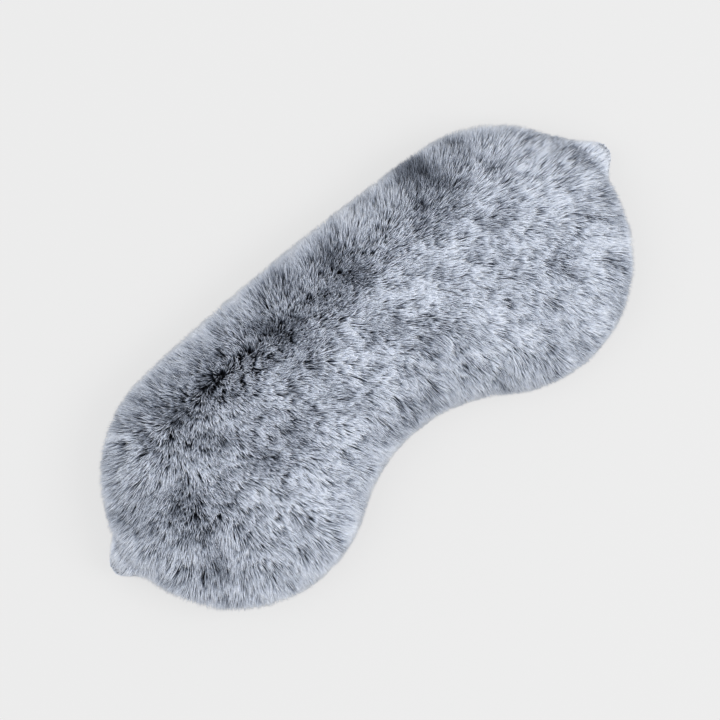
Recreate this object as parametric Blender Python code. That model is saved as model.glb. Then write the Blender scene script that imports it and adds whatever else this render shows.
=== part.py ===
"""Faux-fur eye pillow with a head strap, lying on its back.

Frame: metres, +Z up. X runs from ear to ear, +Y towards the straight top edge and
-Y towards the nose notch. The origin is on the resting surface, under the middle of
the outline. The fur face looks up, and the strap lies folded under the back.
"""

import math

import bmesh
import bpy
import numpy as np

# Outline of the fur seen from above: two lobe circles joined by a long crown arc along
# the top and a notch arc over the nose, with a rounded corner ("ear") at each end. The
# right ear sits a little higher than the left one, by twice the skew.
LOBE_RADIUS = 0.0500
LOBE_X = 0.0625
LOBE_Y = -0.0011
TOP_Y = 0.0511
NOTCH_Y = -0.0312
EAR_TIP_X = 0.1198
EAR_Y = 0.0028
EAR_SKEW = 0.0028
EAR_TIP_RADIUS = 0.0060
EAR_BASE_HALF_WIDTH = 0.0130
NECK_BLEND = 0.0080

# Fur panel: how far its pile hangs outside the seam, and its heights.
PILE_OVERHANG = 0.0070
FUR_EDGE_Z = 0.0130
FUR_CROWN_Z = 0.0370
FUR_REACH = 0.0420
ROOF_EDGE_Z = 0.0150
ROOF_CROWN_Z = 0.0270
ROOF_REACH = 0.0330
EAR_LIFT_Z = 0.0087
EAR_LIFT_INNER = 0.0200
EAR_LIFT_OUTER = 0.0270

# Flat cloths, from the surface up.
BACK_LOW_Z = 0.0072
BACK_HIGH_Z = 0.0084
BACK_INSET = 0.0088
BACK_EAR_INSET = 0.0019
CLOTH_THICKNESS = 0.0006
INSERT_INSET = 0.0100
INSERT_BACK_Z = 0.0087
INSERT_FRONT_Z = 0.0096

# Filled chambers of the insert, one in each lobe.
CHAMBER_INSET = 0.0110
CHAMBER_X = 0.0120
CHAMBER_RISE = 0.0105
CHAMBER_REACH = 0.0220
FILL_SLACK = 0.0014
FILL_MARGIN = 0.0032
FILL_GAP = 0.0004

WADDING_INSET = 0.0080
WADDING_GAP = 0.0008
WADDING_THICKNESS = 0.0030

# Threads.
SEAM_THREAD_INSET = 0.0077
SEAM_THREAD_Z = 0.0078
SEAM_THREAD_RADIUS = 0.00025
CLOSING_HALF_LENGTH = 0.0280
CLOSING_PITCH = 0.0040
CLOSING_SWING = 0.0004
CLOSING_RADIUS = 0.0002
INSERT_THREAD_INSET = 0.0095
INSERT_THREAD_Z = 0.00945
INSERT_THREAD_RADIUS = 0.0002
CHANNEL_THREAD_X = 0.0045
CHANNEL_THREAD_Z = 0.0107

# Head strap: a gathered sleeve over a flat elastic, turning about the line between the ears.
STRAP_AXIS_Z = 0.0036
STRAP_END_X = 0.1145
STRAP_BOW = 0.0220
ELASTIC_WIDTH = 0.0050
ELASTIC_THICKNESS = 0.0012
SLEEVE_END_X = 0.1040
SLEEVE_WIDTH = 0.0200
SLEEVE_AXIS_REACH = 0.0030
SLEEVE_THICKNESS = 0.0052
SLEEVE_WALL = 0.0005
TACK_X = 0.1120
TACK_LOOP_RADIUS = 0.0032
TACK_WIRE_RADIUS = 0.0003
TACK_TOP_Z = 0.0068

LABEL_X = 0.0690
LABEL_WIDTH = 0.0140
LABEL_LENGTH = 0.0200
LABEL_THICKNESS = 0.0008
LABEL_TOP_Z = 0.0068
LABEL_INSET = 0.0090

COLOURS = {
    "fur": ((0.50, 0.54, 0.60), 0.85),
    "back_cloth": ((0.22, 0.24, 0.28), 0.60),
    "wadding": ((0.86, 0.86, 0.84), 0.95),
    "insert_cloth": ((0.80, 0.79, 0.74), 0.90),
    "fill": ((0.62, 0.52, 0.36), 0.70),
    "thread": ((0.16, 0.18, 0.21), 0.70),
    "label": ((0.88, 0.88, 0.86), 0.60),
    "elastic": ((0.12, 0.13, 0.15), 0.80),
    "strap_cloth": ((0.24, 0.26, 0.30), 0.55),
}


# ---------------------------------------------------------------- outline

def crown_radius():
    """Radius of the top arc, tangent to the inside of both lobe circles."""
    rise = TOP_Y - LOBE_Y
    return (LOBE_X**2 + rise**2 - LOBE_RADIUS**2) / (2 * (rise - LOBE_RADIUS))


def notch_radius():
    """Radius of the notch arc, tangent to the outside of both lobe circles."""
    drop = LOBE_Y - NOTCH_Y
    return (LOBE_X**2 + drop**2 - LOBE_RADIUS**2) / (2 * (LOBE_RADIUS - drop))


def root(values):
    return np.sqrt(np.maximum(values, 0.0))


def body_edges(x, inset):
    """Top and bottom edge of the outline without its ears, moved inwards by inset."""
    side = np.abs(x)
    lobe = root((LOBE_RADIUS - inset)**2 - (side - LOBE_X)**2)
    crown = crown_radius()
    crown_end = (crown - inset) * LOBE_X / (crown - LOBE_RADIUS)
    top = np.where(side < crown_end,
                   TOP_Y - crown + root((crown - inset)**2 - side**2),
                   LOBE_Y + lobe)
    notch = notch_radius()
    notch_end = (notch + inset) * LOBE_X / (notch + LOBE_RADIUS)
    bottom = np.where(side < notch_end,
                      NOTCH_Y - notch + root((notch + inset)**2 - side**2),
                      LOBE_Y - lobe)
    return top, bottom


def body_end(inset):
    return LOBE_X + LOBE_RADIUS - inset


def ear_half_width(x, inset):
    """Half the width of a right-angled corner with a rounded tip."""
    side = np.abs(x)
    radius = EAR_TIP_RADIUS - inset
    tip_centre = EAR_TIP_X - EAR_TIP_RADIUS
    apex = tip_centre + radius * math.sqrt(2)
    tip = root(radius**2 - (side - tip_centre)**2)
    straight = np.minimum(apex - side, EAR_BASE_HALF_WIDTH - inset)
    return np.where(side > tip_centre + radius / math.sqrt(2), tip, straight)


def soft_max(a, b):
    """Larger of two values, with the corner between them rounded."""
    return np.maximum(a, b) + np.maximum(NECK_BLEND - np.abs(a - b), 0)**2 / (4 * NECK_BLEND)


def eared_edges(x, inset, ear_inset):
    """Top and bottom edge of the outline with its ears."""
    top, bottom = body_edges(x, inset)
    half_width = ear_half_width(x, ear_inset)
    beyond = np.abs(x) > body_end(inset)
    middle = EAR_Y + EAR_SKEW * np.sign(x)
    ear_top = middle + half_width
    ear_bottom = middle - half_width
    top = np.where(beyond, ear_top, soft_max(top, ear_top))
    bottom = np.where(beyond, ear_bottom, -soft_max(-bottom, -ear_bottom))
    return top, bottom


def ear_end(ear_inset):
    return EAR_TIP_X - ear_inset


def eased_stations(start, end, count):
    """Positions that crowd together towards both ends."""
    turn = np.linspace(0, math.pi, count + 1)
    return start + (end - start) * (1 - np.cos(turn)) / 2


def grid_between(edges, start, end, columns, rows):
    """Grid of points in the XY plane: columns along X, rows from bottom to top edge."""
    x = eased_stations(start, end, columns)
    top, bottom = edges(x)
    share = eased_stations(0, 1, rows)
    y = bottom[:, None] + (top - bottom)[:, None] * share[None, :]
    return np.repeat(x[:, None], rows + 1, axis=1), y


def loop_points(edges, start, end, count):
    """Closed loop of points round the outline, starting at its left end."""
    x = eased_stations(start, end, count)
    top, bottom = edges(x)
    over = list(zip(x, top))
    back = list(zip(x[-2:0:-1], bottom[-2:0:-1]))
    return over + back


def edge_distance(x, y, inset):
    """Distance from each point to the outline without ears, zero outside it."""
    end = body_end(inset)
    outline = np.array(loop_points(lambda s: body_edges(s, inset), -end, end, 160))
    gaps = np.hypot(x[..., None] - outline[:, 0], y[..., None] - outline[:, 1])
    top, bottom = body_edges(x, inset)
    inside = (np.abs(x) < end) & (y < top) & (y > bottom)
    return np.where(inside, gaps.min(axis=-1), 0.0)


def smooth_step(values, low, high):
    share = np.clip((values - low) / (high - low), 0, 1)
    return share * share * (3 - 2 * share)


# ---------------------------------------------------------------- heights

def fur_height(x, y):
    """Outer surface of the pile: a full, rounded cushion."""
    share = np.minimum(edge_distance(x, y, 0) / FUR_REACH, 1)
    return FUR_EDGE_Z + (FUR_CROWN_Z - FUR_EDGE_Z) * np.sqrt(1 - (1 - share)**2)


def roof_height(x, y):
    """Underside of the fur panel's knit backing."""
    share = np.minimum(edge_distance(x, y, PILE_OVERHANG) / ROOF_REACH, 1)
    return ROOF_EDGE_Z + (ROOF_CROWN_Z - ROOF_EDGE_Z) * np.sin(share * math.pi / 2)


def chamber_height(x, y):
    """Underside of the insert's front cloth, raised over the two filled chambers."""
    inward = np.minimum(edge_distance(x, y, CHAMBER_INSET), np.abs(x) - CHAMBER_X)
    share = np.clip(inward / CHAMBER_REACH, 0, 1)
    return INSERT_FRONT_Z + CHAMBER_RISE * np.sin(share * math.pi / 2)


def rim_height(x, y):
    """Underside of the pile: on the surface, but lifted clear of the strap at the ears."""
    lifted = 1 - smooth_step(np.abs(y - EAR_Y), EAR_LIFT_INNER, EAR_LIFT_OUTER)
    return EAR_LIFT_Z * lifted * (np.abs(x) > LOBE_X)


# ---------------------------------------------------------------- meshes

def material(slot):
    colour, roughness = COLOURS[slot]
    made = bpy.data.materials.get(slot) or bpy.data.materials.new(slot)
    made.use_nodes = True
    shader = made.node_tree.nodes["Principled BSDF"]
    shader.inputs["Base Color"].default_value = (*colour, 1)
    shader.inputs["Roughness"].default_value = roughness
    shader.inputs["Metallic"].default_value = 0.0
    return made


def add_object(name, data, slot, origin=(0, 0, 0)):
    piece = bpy.data.objects.new(name, data)
    piece.location = origin
    data.materials.append(material(slot))
    bpy.context.collection.objects.link(piece)
    return piece


def closed_mesh(name, points, faces, origin=(0, 0, 0)):
    """Mesh with coinciding points joined and every face turned outwards."""
    data = bpy.data.meshes.new(name)
    data.from_pydata([tuple(np.subtract(point, origin)) for point in points], [], faces)
    work = bmesh.new()
    work.from_mesh(data)
    bmesh.ops.remove_doubles(work, verts=work.verts, dist=1e-6)
    bmesh.ops.recalc_face_normals(work, faces=work.faces)
    work.to_mesh(data)
    work.free()
    data.shade_smooth()
    data.set_sharp_from_angle(angle=math.radians(50))
    return data


def grid_faces(columns, rows, first):
    width = rows + 1
    corners = [first + i * width + j for i in range(columns) for j in range(rows)]
    return [(c, c + width, c + width + 1, c + 1) for c in corners]


def border(columns, rows):
    """Indices of a grid's outermost points, in order round its edge."""
    width = rows + 1
    low = [i * width for i in range(columns + 1)]
    right = [columns * width + j for j in range(1, rows + 1)]
    high = [i * width + rows for i in range(columns - 1, -1, -1)]
    left = [j for j in range(rows - 1, 0, -1)]
    return low + right + high + left


def band_faces(first_loop, second_loop):
    count = len(first_loop)
    pairs = [(k, (k + 1) % count) for k in range(count)]
    return [(first_loop[a], first_loop[b], second_loop[b], second_loop[a]) for a, b in pairs]


def add_layer(name, grid, low, high, slot):
    """Closed solid between two height fields over one grid."""
    x, y = grid
    columns, rows = x.shape[0] - 1, x.shape[1] - 1
    count = x.size
    points = [*zip(x.ravel(), y.ravel(), low.ravel()), *zip(x.ravel(), y.ravel(), high.ravel())]
    lower = border(columns, rows)
    upper = [index + count for index in lower]
    faces = grid_faces(columns, rows, 0) + grid_faces(columns, rows, count)
    faces += band_faces(lower, upper)
    return add_object(name, closed_mesh(name, points, faces), slot)


def add_thread(name, points, radius, slot, closed=False):
    """Round thread through the given points, with capped ends."""
    data = bpy.data.curves.new(name, "CURVE")
    data.dimensions = "3D"
    data.bevel_depth = radius
    data.bevel_resolution = 1
    data.use_fill_caps = True
    run = data.splines.new("POLY")
    run.points.add(len(points) - 1)
    for knot, place in zip(run.points, points):
        knot.co = (*place, 1)
    run.use_cyclic_u = closed
    return add_object(name, data, slot)


# ---------------------------------------------------------------- cushion

def add_fur_front_panel():
    """Fur face: pile outside, a cavity for the filling inside, and a rim that hangs over the seam."""
    columns, rows = 44, 14
    outer = grid_between(lambda x: eared_edges(x, 0, 0), -ear_end(0), ear_end(0), columns, rows)
    end = body_end(PILE_OVERHANG)
    inner = grid_between(lambda x: body_edges(x, PILE_OVERHANG), -end, end, columns, rows)
    points = [*zip(outer[0].ravel(), outer[1].ravel(), fur_height(*outer).ravel())]
    points += [*zip(inner[0].ravel(), inner[1].ravel(), roof_height(*inner).ravel())]
    count = outer[0].size
    edge = border(columns, rows)
    roof_edge = [index + count for index in edge]
    for x, y in (outer, inner):
        rim_x = x.ravel()[edge]
        rim_y = y.ravel()[edge]
        points += [*zip(rim_x, rim_y, rim_height(rim_x, rim_y))]
    outer_rim = [2 * count + k for k in range(len(edge))]
    inner_rim = [2 * count + len(edge) + k for k in range(len(edge))]
    faces = grid_faces(columns, rows, 0) + grid_faces(columns, rows, count)
    faces += band_faces(edge, outer_rim)
    faces += band_faces(outer_rim, inner_rim)
    faces += band_faces(inner_rim, roof_edge)
    add_object("fur_front_panel", closed_mesh("fur_front_panel", points, faces), "fur")


def add_back_panel():
    end = ear_end(BACK_EAR_INSET)
    grid = grid_between(lambda x: eared_edges(x, BACK_INSET, BACK_EAR_INSET), -end, end, 44, 1)
    flat = np.ones_like(grid[0])
    add_layer("back_panel", grid, BACK_LOW_Z * flat, BACK_HIGH_Z * flat, "back_cloth")


def add_wadding_layer():
    end = body_end(WADDING_INSET)
    grid = grid_between(lambda x: body_edges(x, WADDING_INSET), -end, end, 24, 8)
    high = roof_height(*grid) - WADDING_GAP
    add_layer("wadding_layer", grid, high - WADDING_THICKNESS, high, "wadding")


def insert_grid(columns, rows):
    end = body_end(INSERT_INSET)
    return grid_between(lambda x: body_edges(x, INSERT_INSET), -end, end, columns, rows)


def add_insert_cloths():
    """Inner pouch: a flat back cloth, and a front cloth raised over the two chambers."""
    grid = insert_grid(28, 1)
    low = INSERT_BACK_Z * np.ones_like(grid[0])
    add_layer("insert_back_cloth", grid, low, low + CLOTH_THICKNESS, "insert_cloth")
    grid = insert_grid(40, 12)
    low = chamber_height(*grid)
    add_layer("insert_front_cloth", grid, low, low + CLOTH_THICKNESS, "insert_cloth")


def add_bead_fill(name, side):
    """Loose fill of one lobe, as the space it takes up inside its chamber."""
    inset = CHAMBER_INSET + FILL_MARGIN
    near = side * (CHAMBER_X + FILL_MARGIN)
    far = side * body_end(inset)
    start, end = sorted((near, far))
    grid = grid_between(lambda x: body_edges(x, inset), start, end, 18, 10)
    high = chamber_height(*grid) - FILL_SLACK
    low = (INSERT_BACK_Z + CLOTH_THICKNESS + FILL_GAP) * np.ones_like(high)
    add_layer(name, grid, low, high, "fill")


# ---------------------------------------------------------------- threads and label

def add_edge_seam():
    """Machine seam round the pillow, open at the turning gap, and the hand stitches that close it."""
    ear_inset = BACK_EAR_INSET - (BACK_INSET - SEAM_THREAD_INSET)
    end = ear_end(ear_inset)
    loop = loop_points(lambda x: eared_edges(x, SEAM_THREAD_INSET, ear_inset), -end, end, 72)
    gap = [k for k, (x, y) in enumerate(loop) if y > 0 and abs(x) < CLOSING_HALF_LENGTH]
    run = loop[gap[-1] + 1:] + loop[:gap[0]]
    points = [(x, y, SEAM_THREAD_Z) for x, y in run]
    add_thread("edge_seam_thread", points, SEAM_THREAD_RADIUS, "thread")

    reach = CLOSING_HALF_LENGTH - CLOSING_PITCH
    steps = round(2 * reach / (CLOSING_PITCH / 2))
    x = np.linspace(-reach, reach, steps + 1)
    y = body_edges(x, SEAM_THREAD_INSET)[0]
    z = SEAM_THREAD_Z + CLOSING_SWING * np.where(np.arange(steps + 1) % 2, 1, -1)
    add_thread("closing_thread", [*zip(x, y, z)], CLOSING_RADIUS, "thread")


def add_insert_threads():
    """Seam round the inner pouch, and the two stitch lines across its bridge."""
    end = body_end(INSERT_THREAD_INSET)
    loop = loop_points(lambda x: body_edges(x, INSERT_THREAD_INSET), -end, end, 48)
    points = [(x, y, INSERT_THREAD_Z) for x, y in loop]
    add_thread("insert_seam_thread", points, INSERT_THREAD_RADIUS, "thread", closed=True)
    for name, x in (("channel_thread_left", -CHANNEL_THREAD_X),
                    ("channel_thread_right", CHANNEL_THREAD_X)):
        top, bottom = body_edges(np.array([x]), CHAMBER_INSET)
        points = [(x, y, CHANNEL_THREAD_Z) for y in np.linspace(bottom[0], top[0], 5)]
        add_thread(name, points, INSERT_THREAD_RADIUS, "thread")


def add_care_label():
    """Blank folded label, sewn into the seam under the right lobe."""
    bottom = body_edges(np.array([LABEL_X]), LABEL_INSET)[1][0]
    work = bmesh.new()
    bmesh.ops.create_cube(work, size=1)
    bmesh.ops.scale(work, vec=(LABEL_WIDTH, LABEL_LENGTH, LABEL_THICKNESS), verts=work.verts)
    fold = [edge for edge in work.edges
            if all(vert.co.y > 0 for vert in edge.verts) and edge.verts[0].co.z == edge.verts[1].co.z]
    bmesh.ops.bevel(work, geom=fold, offset=LABEL_THICKNESS * 0.45, segments=3, affect="EDGES")
    data = bpy.data.meshes.new("care_label")
    work.to_mesh(data)
    work.free()
    place = (LABEL_X, bottom + LABEL_LENGTH / 2, LABEL_TOP_Z - LABEL_THICKNESS / 2)
    add_object("care_label", data, "label", place)


# ---------------------------------------------------------------- head strap

def bow_offset(x):
    """How far the strap's middle line stands off the line between the ears."""
    return STRAP_BOW / 2 * (1 + np.cos(math.pi * x / STRAP_END_X))


def bow_direction(x):
    slope = -STRAP_BOW / 2 * math.pi / STRAP_END_X * np.sin(math.pi * x / STRAP_END_X)
    return np.array([1, slope]) / math.hypot(1, slope)


def section_ring(x, half_width, half_height, sides, square=False):
    """Closed ring of points across the strap at x: an ellipse, or a flat band's rectangle."""
    along = bow_direction(x)
    across = np.array([-along[1], along[0]])
    middle = np.array([x, EAR_Y + bow_offset(x)])
    ring = []
    for k in range(sides):
        turn = 2 * math.pi * (k + 0.5) / sides
        across_share, up_share = math.cos(turn), math.sin(turn)
        if square:
            across_share, up_share = np.sign(across_share), np.sign(up_share)
        flat = middle + across * half_width * across_share
        ring.append((flat[0], flat[1], STRAP_AXIS_Z + half_height * up_share))
    return ring


def ring_bands(first, rings, sides):
    """Faces between neighbouring rings of one tube."""
    faces = []
    for k in range(rings - 1):
        near = [first + k * sides + j for j in range(sides)]
        far = [index + sides for index in near]
        faces += band_faces(near, far)
    return faces


def add_strap_elastic():
    """Flat elastic from tack to tack."""
    stations = np.linspace(-STRAP_END_X, STRAP_END_X, 29)
    half = (ELASTIC_WIDTH / 2, ELASTIC_THICKNESS / 2)
    points = [spot for x in stations for spot in section_ring(x, *half, 4, square=True)]
    faces = ring_bands(0, len(stations), 4)
    last = 4 * (len(stations) - 1)
    faces += [(0, 1, 2, 3), (last, last + 1, last + 2, last + 3)]
    origin = (0, EAR_Y, STRAP_AXIS_Z)
    data = closed_mesh("strap_elastic", points, faces, origin)
    add_object("strap_elastic", data, "elastic", origin)


def sleeve_half_width(x):
    """Full width in the middle, and no further than its reach past the joint's axis at the ends."""
    widest = SLEEVE_WIDTH / 2
    allowed = SLEEVE_AXIS_REACH + bow_offset(x)
    return widest * allowed / (widest**6 + allowed**6)**(1 / 6)


def add_strap_sleeve():
    """Cloth sleeve, wide in the middle and drawn in at both open ends."""
    sides = 12
    stations = np.linspace(-SLEEVE_END_X, SLEEVE_END_X, 27)
    points = []
    for wall in (0.0, SLEEVE_WALL):
        for x in stations:
            half_width = sleeve_half_width(x) - wall
            points += section_ring(x, half_width, SLEEVE_THICKNESS / 2 - wall, sides)
    count = len(stations) * sides
    faces = ring_bands(0, len(stations), sides) + ring_bands(count, len(stations), sides)
    for start in (0, count - sides):
        outer = [start + j for j in range(sides)]
        faces += band_faces(outer, [index + count for index in outer])
    origin = (0, EAR_Y, STRAP_AXIS_Z)
    data = closed_mesh("strap_sleeve", points, faces, origin)
    add_object("strap_sleeve", data, "strap_cloth", origin)


def add_strap_tack(name, x):
    """Thread bar round the elastic's end, held to the back of the ear."""
    points = [(x, EAR_Y - TACK_LOOP_RADIUS, TACK_TOP_Z)]
    for turn in np.linspace(math.pi, 2 * math.pi, 13):
        y = EAR_Y + TACK_LOOP_RADIUS * math.cos(turn)
        points.append((x, y, STRAP_AXIS_Z + TACK_LOOP_RADIUS * math.sin(turn)))
    points.append((x, EAR_Y + TACK_LOOP_RADIUS, TACK_TOP_Z))
    add_thread(name, points, TACK_WIRE_RADIUS, "thread")


def clear_scene():
    for old in list(bpy.data.objects):
        bpy.data.objects.remove(old, do_unlink=True)


def build():
    clear_scene()
    add_fur_front_panel()
    add_back_panel()
    add_wadding_layer()
    add_insert_cloths()
    add_bead_fill("bead_fill_left", -1)
    add_bead_fill("bead_fill_right", 1)
    add_edge_seam()
    add_insert_threads()
    add_care_label()
    add_strap_elastic()
    add_strap_sleeve()
    add_strap_tack("strap_tack_left", -TACK_X)
    add_strap_tack("strap_tack_right", TACK_X)


build()
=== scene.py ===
"""Looks of the faux-fur eye pillow: its long pile, its cloths and threads, and its head strap.

The pile is real fibres. They grow from a dark knit backing, in the directions that the comb
strokes give, hang over the edge, and run from charcoal roots to pale tips.
Lengths are metres unless a comment says otherwise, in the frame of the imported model: +X from
ear to ear, +Y to the top edge, +Z up from the back.
"""

import math

import bmesh
import bpy
import numpy as np
from mathutils.kdtree import KDTree
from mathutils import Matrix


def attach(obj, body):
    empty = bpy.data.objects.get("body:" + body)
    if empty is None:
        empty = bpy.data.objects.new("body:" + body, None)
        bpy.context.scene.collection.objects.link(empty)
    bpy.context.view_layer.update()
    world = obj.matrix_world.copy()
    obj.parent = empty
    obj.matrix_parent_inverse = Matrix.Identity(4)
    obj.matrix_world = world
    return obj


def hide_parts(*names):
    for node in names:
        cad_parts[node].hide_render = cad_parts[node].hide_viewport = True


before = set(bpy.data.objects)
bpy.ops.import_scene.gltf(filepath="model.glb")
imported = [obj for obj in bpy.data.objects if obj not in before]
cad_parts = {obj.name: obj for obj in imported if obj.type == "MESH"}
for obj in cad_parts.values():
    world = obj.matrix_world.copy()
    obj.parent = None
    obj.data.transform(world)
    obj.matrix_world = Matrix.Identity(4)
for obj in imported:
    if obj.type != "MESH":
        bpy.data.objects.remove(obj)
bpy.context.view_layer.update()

SEED = 7
MM = 0.001

# Outline of the pile seen from above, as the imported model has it.
LOBE_RADIUS = 0.0500
LOBE_X = 0.0625
LOBE_Y = -0.0011
TOP_Y = 0.0511
NOTCH_Y = -0.0312
EAR_TIP_X = 0.1198
EAR_Y = 0.0028
EAR_SKEW = 0.0028
EAR_TIP_RADIUS = 0.0060
EAR_BASE_HALF_WIDTH = 0.0130
NECK_BLEND = 0.0080

# Knit backing that the pile grows from.
SEAM_INSET = 0.0066
EAR_SEAM_INSET = 0.0019
SEAM_Z = 0.0088
BACKING_CROWN_Z = 0.0275
BACKING_REACH = 0.0340
BACKING_THICKNESS = 0.0006
EAR_SWELL = 0.0055
EAR_SWELL_REACH = 0.0110

# Pile: how many fibres, and their size. The steps are shares of a fibre's length from its root,
# and the shortest share is given for the inside and for the edge.
FIBRE_COUNT = 150000
PILE_PIECES = 14
PILE_UV = "OFBake"
FIBRE_LENGTH = 0.0105
EAR_FIBRE_LENGTH = 0.0075
EAR_SHORT_HALF_WIDTHS = (0.006, 0.012)
SHORTEST_SHARES = (0.68, 0.82)
LONGEST_SHARE = 1.08
FIBRE_STEPS = (0.38, 0.34, 0.28)
FIBRE_RADIUS = 0.00012
FIBRE_WIDTHS = (0.75, 1.0, 0.85)
FIBRE_UV_ROWS = (0.02, 0.38, 0.72, 0.99)
FIBRE_UV_HALF_WIDTH = 0.0015
UV_MARGIN = 0.01
ROOT_DEPTH = 0.0004
REST_Z = 0.0006
LOWEST_Z = 0.0004

# How thickly it grows, beyond the usual, where it parts and in the ears.
PARTING_DENSITY = 0.25
EAR_DENSITY = 1.2
EAR_START_X = 0.1060
EAR_REACH = 0.0100

# How flat it lies, from 0 upright to 1 flat, at the left and at the right, and how that bends a
# fibre: degrees from upright, for upright and for flat pile.
LAY = (0.52, 0.72)
LAY_X = (-0.040, 0.050)
RIM_LAY = 0.95
RIM_LAY_REACH = 0.0160
LAY_SPREAD = 0.08
LAY_RANGE = (0.02, 1.05)
ROOT_BEND = (4, 50)
TIP_BEND = (22, 88)
INNER_UPRIGHT = 0.90
INNER_REACH = (0.008, 0.022)
DOWNHILL = 0.25
TURN_SPREAD = 0.14
PARTING_TURN_SPREAD = 0.55

# How it lengthens and droops at the edge, and hangs down where it would reach past the outline.
RIM_REACH = 0.0120
EAR_RIM_REACH = 0.0040
RIM_LENGTHENING = 0.35
DROOP = 0.08
RIM_DROOP = 0.50
RIM_HANG = 0.72
EAR_HANG = 1.90
EAR_HANG_X = 0.1080
EAR_HANG_REACH = 0.0060
HANG_SPREAD = (0.40, 1.15)
HANG_SHARES = (0, 0.15, 0.5, 1)
EAR_RUN_SHARES = (0, 0.85, 1, 1)
HELD_SPREAD = (0.88, 1.05)

# How it gathers into strands, and those into tufts: the pull on upright and on flat pile.
STRANDS = 24000
STRAND_PULL = (0.696, 0.406)
TUFTS = 3400
TUFT_PULL = (0.338, 0.208)
GATHER_SHARES = (0.25, 0.65, 1.0)
GATHER_ALIGN = 0.35

# How soon a fibre turns pale, from 0 late to 1 soon, what changes that, and how far it shifts
# the colours along the fibre.
SHADE = 0.33
LAY_SHADE = 0.30
PARTING_SHADE = -0.24
# Painted light: fibres along the top edge turn pale sooner, lighting the side that the lights leave in
# shade.
PAINTED_TOP_LIGHT = 0.27
PAINTED_TOP_LIGHT_Y = (0.034, 0.046)
RIM_SHADE = -0.05
SHADE_SPREAD = 0.13
PALE_SHIFTS = (-0.29, 0.31)

# Random fields over the pile and the cloths: how strong each is, and its patches' width in
# millimetres.
LAY_FIELDS = ((0.24, 5), (0.20, 2.4))
TURN_FIELDS = ((0.30, 7), (0.25, 3))
SHADE_FIELDS = ((0.18, 4), (0.11, 11), (0.13, 1.8))
RIM_SHADE_FIELDS = ((0.20, 2.8),)
PUCKER_FIELDS = ((2.4, 14), (0.8, 5))
FLUFF_FIELDS = ((0.3, 1.6), (0.2, 0.9))

# Cloths from the surface up, and how their puckers run in from a seam.
BACK_INSET = 0.0088
BACK_Z = 0.0078
BACK_THICKNESS = 0.0005
BACK_PUCKER = 0.00026
BACK_PUCKER_REACH = 0.0070
BACK_SAG = 0.00008
INSERT_INSET = 0.0100
INSERT_BACK_Z = 0.0090
INSERT_FRONT_Z = 0.0096
INSERT_THICKNESS = 0.0004
INSERT_BACK_PUCKER = 0.00006
INSERT_BACK_PUCKER_REACH = 0.0080
INSERT_FRONT_PUCKER = 0.00045
INSERT_FRONT_PUCKER_REACH = 0.0110
INSERT_WRINKLE = 0.00030
CHAMBER_INSET = 0.0110
CHAMBER_X = 0.0120
CHAMBER_RISE = 0.0105
CHAMBER_REACH = 0.0220
PUCKER_PITCH = 0.0055
WADDING_INSET = 0.0090
WADDING_GAP = 0.0004
WADDING_THICKNESS = 0.0030
WADDING_EDGE = 0.0012
WADDING_EDGE_REACH = 0.0100
WADDING_FLUFF = 0.00025
WADDING_LUMPS = 0.00035

# Loose round fill of the two chambers.
BEAD_RADIUS = 0.00142
BEAD_SIZES = (0.93, 1.0)
BEAD_PITCH = 0.00305
BEAD_LAYERS = 4
BEAD_SCATTER = 0.00005
FILL_FLOOR_Z = 0.0097
FILL_INSET = 0.0142
FILL_MIDDLE_X = 0.0152
FILL_SLACK = 0.0014

# Blank folded label at the bottom edge.
LABEL_X = 0.0690
LABEL_WIDTH = 0.0140
LABEL_LENGTH = 0.0200
LABEL_INSET = 0.0090
LABEL_TOP_Z = 0.0068
LABEL_FOLD_RADIUS = 0.0003
LABEL_THICKNESS = 0.0002
LABEL_CURL = 0.0012
LABEL_CURL_TWIST = 0.35
LABEL_STEPS = 40

# Head strap: its middle line bows from the line between the ears towards the top edge.
STRAP_AXIS_Z = 0.0036
STRAP_END_X = 0.1145
STRAP_BOW = 0.0220
ELASTIC_WIDTH = 0.0050
ELASTIC_THICKNESS = 0.0012
ELASTIC_RIBS = 6
ELASTIC_RIB_DEPTHS = (0.88, 0.09, 0.03)
ELASTIC_RIDGE_PITCH = 0.0008
ELASTIC_SHOWN_REACH = 0.0120
ELASTIC_CORNERS = 0.45
SLEEVE_END_X = 0.1040
SLEEVE_WIDTH = 0.0200
SLEEVE_AXIS_REACH = 0.0030
SLEEVE_CREST = 0.0026
SLEEVE_TROUGH = 0.0014
SLEEVE_END_TROUGH = 0.0019
SLEEVE_END_REACH = 0.0160
SLEEVE_END_FLATTENING = 0.45
SLEEVE_CORNERS = 0.65
SLEEVE_WALL = 0.0003
FOLD_PITCH = 0.0028
FOLD_WAVES = (0.050, 0.021, 0.011)
FOLD_WANDER = (0.10, 0.32)
FOLD_NARROWING = 0.0005
FOLD_END_LOSS = 0.6

# Studio. Each light has a name, a place, a size and a power.
CAMERA_PLACE = (-0.0003, 0.0026, 0.893)
CAMERA_TURN = -39.2
CAMERA_LENS = 120
FLOOR_HALF_WIDTH = 6.0
FLOOR_GREY = 0.80
FLOOR_GLOW_GREY = 0.778
FLOOR_GLOW_SHARE = 0.85
SKY_GREY = 0.84
LIGHT_AIM = (0, 0, 0.02)
LIGHTS = (("key_light", (0.6, -0.5, 1.0), 0.7, 10.0), ("fill_light", (-0.6, 0.4, 1.1), 0.9, 6.0))

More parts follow.
